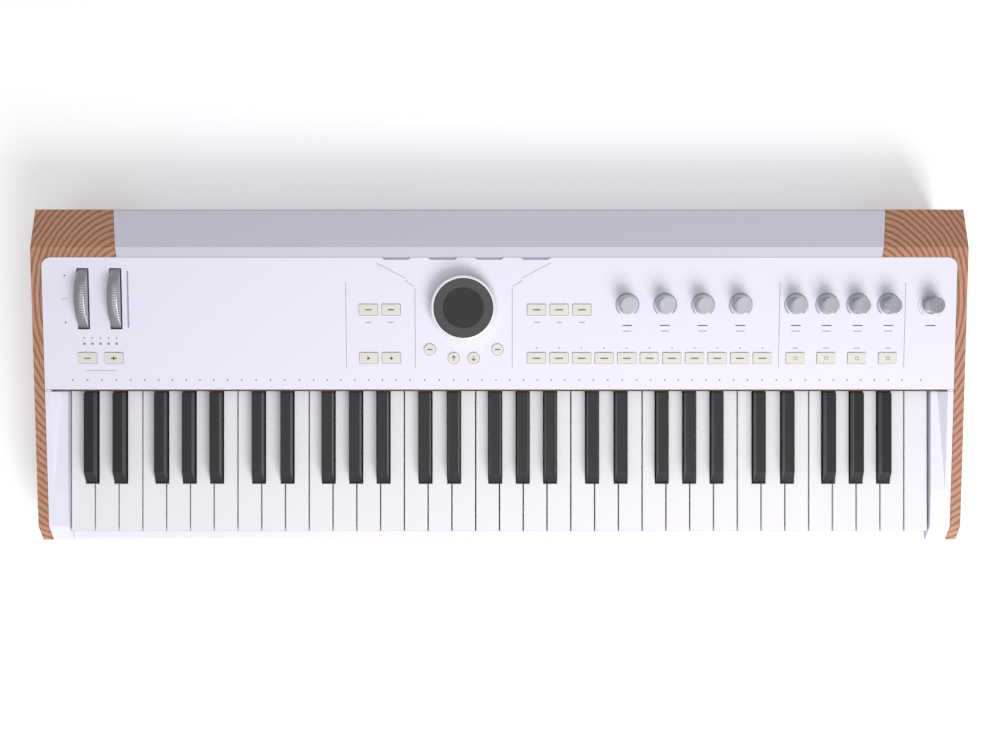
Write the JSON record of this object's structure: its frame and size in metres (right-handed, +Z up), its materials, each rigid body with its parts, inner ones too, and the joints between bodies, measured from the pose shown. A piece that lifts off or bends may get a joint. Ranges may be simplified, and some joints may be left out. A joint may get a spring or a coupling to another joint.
{
  "type": "stage keyboard",
  "caption": "White stage keyboard with piano-style keys, wooden ends, two metal wheels, turned knobs, soft buttons and a round display in a turning ring.",
  "frame": {"origin": "on the floor, under the middle of the whole keyboard", "axes": "+X from the low keys to the high keys, +Y from the player to the rear, +Z up"},
  "size_m": [0.908, 0.3258, 0.1081],
  "materials": {
    "white_paint": "fine satin paint",
    "wood": "oiled walnut-like wood",
    "key_white": "moulded, semi-gloss",
    "key_black": "moulded, gloss",
    "button_grey": "moulded, matt",
    "turned_metal": "turned",
    "pearl": "pearl lacquer",
    "steel": "folded sheet",
    "black_glass": "glossy display window",
    "rubber": "moulded rubber",
    "circuit_board": "solder mask",
    "felt": "pressed felt"
  },
  "bodies": {
    "case": {"bottom_case": "white_paint", "rear_cover": "white_paint", "front_rail": "white_paint", "wood_end_left": "wood", "wood_end_right": "wood", "cheek_left": "white_paint", "cheek_right": "white_paint", "key_frame": "steel", "contact_board": "circuit_board", "main_board": "circuit_board", "foot_front_left": "rubber", "foot_front_right": "rubber", "foot_rear_left": "rubber", "foot_rear_right": "rubber", "top_panel": "white_paint", "felt_strip": "felt", "panel_board": "circuit_board", "wheel_bracket": "steel"},
    "keys_c_e_g_b_1": {"keys_c_e_g_b_1": "key_white"},
    "keys_d_f_a_1": {"keys_d_f_a_1": "key_white"},
    "keys_black_1": {"keys_black_1": "key_black"},
    "keys_c_e_g_b_2": {"keys_c_e_g_b_2": "key_white"},
    "keys_d_f_a_2": {"keys_d_f_a_2": "key_white"},
    "keys_black_2": {"keys_black_2": "key_black"},
    "keys_c_e_g_b_3": {"keys_c_e_g_b_3": "key_white"},
    "keys_d_f_a_3": {"keys_d_f_a_3": "key_white"},
    "keys_black_3": {"keys_black_3": "key_black"},
    "keys_c_e_g_b_4": {"keys_c_e_g_b_4": "key_white"},
    "keys_d_f_a_4": {"keys_d_f_a_4": "key_white"},
    "keys_black_4": {"keys_black_4": "key_black"},
    "keys_c_e_g_b_5": {"keys_c_e_g_b_5": "key_white"},
    "keys_d_f_a_5": {"keys_d_f_a_5": "key_white"},
    "keys_black_5": {"keys_black_5": "key_black"},
    "key_top_c": {"key_top_c": "key_white"},
    "pitch_wheel": {"pitch_wheel": "turned_metal"},
    "mod_wheel": {"mod_wheel": "turned_metal"},
    "macro_knob_1": {"macro_knob_1": "turned_metal"},
    "macro_knob_2": {"macro_knob_2": "turned_metal"},
    "macro_knob_3": {"macro_knob_3": "turned_metal"},
    "macro_knob_4": {"macro_knob_4": "turned_metal"},
    "effect_knob_1": {"effect_knob_1": "turned_metal"},
    "effect_knob_2": {"effect_knob_2": "turned_metal"},
    "effect_knob_3": {"effect_knob_3": "turned_metal"},
    "effect_knob_4": {"effect_knob_4": "turned_metal"},
    "volume_knob": {"volume_knob": "turned_metal"},
    "display": {"display": "black_glass"},
    "encoder_ring": {"encoder_ring": "pearl"},
    "octave_down_button": {"octave_down_button": "button_grey"},
    "octave_up_button": {"octave_up_button": "button_grey"},
    "arpeggio_button": {"arpeggio_button": "button_grey"},
    "chord_button": {"chord_button": "button_grey"},
    "play_button": {"play_button": "button_grey"},
    "metronome_button": {"metronome_button": "button_grey"},
    "back_button": {"back_button": "button_grey"},
    "up_button": {"up_button": "button_grey"},
    "down_button": {"down_button": "button_grey"},
    "shift_button": {"shift_button": "button_grey"},
    "part_buttons": {"part_buttons": "button_grey"},
    "sound_buttons": {"sound_buttons": "button_grey"},
    "effect_buttons": {"effect_buttons": "button_grey"}
  },
  "joints": [
    {"name": "keys_c_e_g_b_1_press", "type": "hinge", "parent": "case", "child": "keys_c_e_g_b_1", "pos_m": [-0.34075, 0.02007, 0.063], "axis": [1, 0, 0], "range_deg": [0, 3.32], "stiffness_Nm_per_rad": 4, "springref_deg": -17.19},
    {"name": "keys_d_f_a_1_press", "type": "hinge", "parent": "case", "child": "keys_d_f_a_1", "pos_m": [-0.34075, 0.02007, 0.05225], "axis": [1, 0, 0], "range_deg": [0, 3.32], "stiffness_Nm_per_rad": 4, "springref_deg": -17.19},
    {"name": "keys_black_1_press", "type": "hinge", "parent": "case", "child": "keys_black_1", "pos_m": [-0.34075, 0.02007, 0.07225], "axis": [1, 0, 0], "range_deg": [0, 3.32], "stiffness_Nm_per_rad": 4, "springref_deg": -17.19},
    {"name": "keys_c_e_g_b_2_press", "type": "hinge", "parent": "case", "child": "keys_c_e_g_b_2", "pos_m": [-0.17625, 0.02007, 0.063], "axis": [1, 0, 0], "range_deg": [0, 3.32], "stiffness_Nm_per_rad": 4, "springref_deg": -17.19},
    {"name": "keys_d_f_a_2_press", "type": "hinge", "parent": "case", "child": "keys_d_f_a_2", "pos_m": [-0.17625, 0.02007, 0.05225], "axis": [1, 0, 0], "range_deg": [0, 3.32], "stiffness_Nm_per_rad": 4, "springref_deg": -17.19},
    {"name": "keys_black_2_press", "type": "hinge", "parent": "case", "child": "keys_black_2", "pos_m": [-0.17625, 0.02007, 0.07225], "axis": [1, 0, 0], "range_deg": [0, 3.32], "stiffness_Nm_per_rad": 4, "springref_deg": -17.19},
    {"name": "keys_c_e_g_b_3_press", "type": "hinge", "parent": "case", "child": "keys_c_e_g_b_3", "pos_m": [-0.01175, 0.02007, 0.063], "axis": [1, 0, 0], "range_deg": [0, 3.32], "stiffness_Nm_per_rad": 4, "springref_deg": -17.19},
    {"name": "keys_d_f_a_3_press", "type": "hinge", "parent": "case", "child": "keys_d_f_a_3", "pos_m": [-0.01175, 0.02007, 0.05225], "axis": [1, 0, 0], "range_deg": [0, 3.32], "stiffness_Nm_per_rad": 4, "springref_deg": -17.19},
    {"name": "keys_black_3_press", "type": "hinge", "parent": "case", "child": "keys_black_3", "pos_m": [-0.01175, 0.02007, 0.07225], "axis": [1, 0, 0], "range_deg": [0, 3.32], "stiffness_Nm_per_rad": 4, "springref_deg": -17.19},
    {"name": "keys_c_e_g_b_4_press", "type": "hinge", "parent": "case", "child": "keys_c_e_g_b_4", "pos_m": [0.15275, 0.02007, 0.063], "axis": [1, 0, 0], "range_deg": [0, 3.32], "stiffness_Nm_per_rad": 4, "springref_deg": -17.19},
    {"name": "keys_d_f_a_4_press", "type": "hinge", "parent": "case", "child": "keys_d_f_a_4", "pos_m": [0.15275, 0.02007, 0.05225], "axis": [1, 0, 0], "range_deg": [0, 3.32], "stiffness_Nm_per_rad": 4, "springref_deg": -17.19},
    {"name": "keys_black_4_press", "type": "hinge", "parent": "case", "child": "keys_black_4", "pos_m": [0.15275, 0.02007, 0.07225], "axis": [1, 0, 0], "range_deg": [0, 3.32], "stiffness_Nm_per_rad": 4, "springref_deg": -17.19},
    {"name": "keys_c_e_g_b_5_press", "type": "hinge", "parent": "case", "child": "keys_c_e_g_b_5", "pos_m": [0.31725, 0.02007, 0.063], "axis": [1, 0, 0], "range_deg": [0, 3.32], "stiffness_Nm_per_rad": 4, "springref_deg": -17.19},
    {"name": "keys_d_f_a_5_press", "type": "hinge", "parent": "case", "child": "keys_d_f_a_5", "pos_m": [0.31725, 0.02007, 0.05225], "axis": [1, 0, 0], "range_deg": [0, 3.32], "stiffness_Nm_per_rad": 4, "springref_deg": -17.19},
    {"name": "keys_black_5_press", "type": "hinge", "parent": "case", "child": "keys_black_5", "pos_m": [0.31725, 0.02007, 0.07225], "axis": [1, 0, 0], "range_deg": [0, 3.32], "stiffness_Nm_per_rad": 4, "springref_deg": -17.19},
    {"name": "key_top_c_press", "type": "hinge", "parent": "case", "child": "key_top_c", "pos_m": [0.41125, 0.02007, 0.063], "axis": [1, 0, 0], "range_deg": [0, 3.32], "stiffness_Nm_per_rad": 1, "springref_deg": -17.19},
    {"name": "pitch_wheel_turn", "type": "hinge", "parent": "case", "child": "pitch_wheel", "pos_m": [-0.404, 0.07684, 0.06664], "axis": [-1, 0, 0], "range_deg": [-30, 30], "stiffness_Nm_per_rad": 0.2},
    {"name": "mod_wheel_turn", "type": "hinge", "parent": "case", "child": "mod_wheel", "pos_m": [-0.3723, 0.07684, 0.06664], "axis": [-1, 0, 0], "range_deg": [0, 50]},
    {"name": "macro_knob_1_turn", "type": "hinge", "parent": "case", "child": "macro_knob_1", "pos_m": [0.1242, 0.0692, 0.0891], "axis": [0, -0.0811, 0.9967], "continuous": true},
    {"name": "macro_knob_2_turn", "type": "hinge", "parent": "case", "child": "macro_knob_2", "pos_m": [0.1609, 0.0692, 0.0891], "axis": [0, -0.0811, 0.9967], "continuous": true},
    {"name": "macro_knob_3_turn", "type": "hinge", "parent": "case", "child": "macro_knob_3", "pos_m": [0.1976, 0.0692, 0.0891], "axis": [0, -0.0811, 0.9967], "continuous": true},
    {"name": "macro_knob_4_turn", "type": "hinge", "parent": "case", "child": "macro_knob_4", "pos_m": [0.2343, 0.0692, 0.0891], "axis": [0, -0.0811, 0.9967], "continuous": true},
    {"name": "effect_knob_1_turn", "type": "hinge", "parent": "case", "child": "effect_knob_1", "pos_m": [0.2881, 0.0692, 0.0891], "axis": [0, -0.0811, 0.9967], "continuous": true},
    {"name": "effect_knob_2_turn", "type": "hinge", "parent": "case", "child": "effect_knob_2", "pos_m": [0.3181, 0.0692, 0.0891], "axis": [0, -0.0811, 0.9967], "continuous": true},
    {"name": "effect_knob_3_turn", "type": "hinge", "parent": "case", "child": "effect_knob_3", "pos_m": [0.3481, 0.0692, 0.0891], "axis": [0, -0.0811, 0.9967], "continuous": true},
    {"name": "effect_knob_4_turn", "type": "hinge", "parent": "case", "child": "effect_knob_4", "pos_m": [0.3781, 0.0692, 0.0891], "axis": [0, -0.0811, 0.9967], "continuous": true},
    {"name": "volume_knob_turn", "type": "hinge", "parent": "case", "child": "volume_knob", "pos_m": [0.419, 0.0692, 0.0891], "axis": [0, -0.0811, 0.9967], "range_deg": [-140, 140]},
    {"name": "display_press", "type": "slide", "parent": "case", "child": "display", "axis": [0, 0.0811, -0.9967], "range_m": [0, 0.0006], "stiffness_N_per_m": 3000, "springref_m": -0.001},
    {"name": "encoder_ring_turn", "type": "hinge", "parent": "display", "child": "encoder_ring", "pos_m": [-0.0347, 0.0666, 0.08889], "axis": [0, -0.0811, 0.9967], "continuous": true},
    {"name": "octave_down_button_press", "type": "slide", "parent": "case", "child": "octave_down_button", "axis": [0, 0.0811, -0.9967], "range_m": [0, 0.001], "stiffness_N_per_m": 400, "springref_m": -0.001},
    {"name": "octave_up_button_press", "type": "slide", "parent": "case", "child": "octave_up_button", "axis": [0, 0.0811, -0.9967], "range_m": [0, 0.001], "stiffness_N_per_m": 400, "springref_m": -0.001},
    {"name": "arpeggio_button_press", "type": "slide", "parent": "case", "child": "arpeggio_button", "axis": [0, 0.0811, -0.9967], "range_m": [0, 0.001], "stiffness_N_per_m": 400, "springref_m": -0.001},
    {"name": "chord_button_press", "type": "slide", "parent": "case", "child": "chord_button", "axis": [0, 0.0811, -0.9967], "range_m": [0, 0.001], "stiffness_N_per_m": 400, "springref_m": -0.001},
    {"name": "play_button_press", "type": "slide", "parent": "case", "child": "play_button", "axis": [0, 0.0811, -0.9967], "range_m": [0, 0.001], "stiffness_N_per_m": 400, "springref_m": -0.001},
    {"name": "metronome_button_press", "type": "slide", "parent": "case", "child": "metronome_button", "axis": [0, 0.0811, -0.9967], "range_m": [0, 0.001], "stiffness_N_per_m": 400, "springref_m": -0.001},
    {"name": "back_button_press", "type": "slide", "parent": "case", "child": "back_button", "axis": [0, 0.0811, -0.9967], "range_m": [0, 0.001], "stiffness_N_per_m": 400, "springref_m": -0.001},
    {"name": "up_button_press", "type": "slide", "parent": "case", "child": "up_button", "axis": [0, 0.0811, -0.9967], "range_m": [0, 0.001], "stiffness_N_per_m": 400, "springref_m": -0.001},
    {"name": "down_button_press", "type": "slide", "parent": "case", "child": "down_button", "axis": [0, 0.0811, -0.9967], "range_m": [0, 0.001], "stiffness_N_per_m": 400, "springref_m": -0.001},
    {"name": "shift_button_press", "type": "slide", "parent": "case", "child": "shift_button", "axis": [0, 0.0811, -0.9967], "range_m": [0, 0.001], "stiffness_N_per_m": 400, "springref_m": -0.001},
    {"name": "part_buttons_press", "type": "slide", "parent": "case", "child": "part_buttons", "axis": [0, 0.0811, -0.9967], "range_m": [0, 0.001], "stiffness_N_per_m": 1200, "springref_m": -0.001},
    {"name": "sound_buttons_press", "type": "slide", "parent": "case", "child": "sound_buttons", "axis": [0, 0.0811, -0.9967], "range_m": [0, 0.001], "stiffness_N_per_m": 4400, "springref_m": -0.001},
    {"name": "effect_buttons_press", "type": "slide", "parent": "case", "child": "effect_buttons", "axis": [0, 0.0811, -0.9967], "range_m": [0, 0.001], "stiffness_N_per_m": 1600, "springref_m": -0.001}
  ]
}
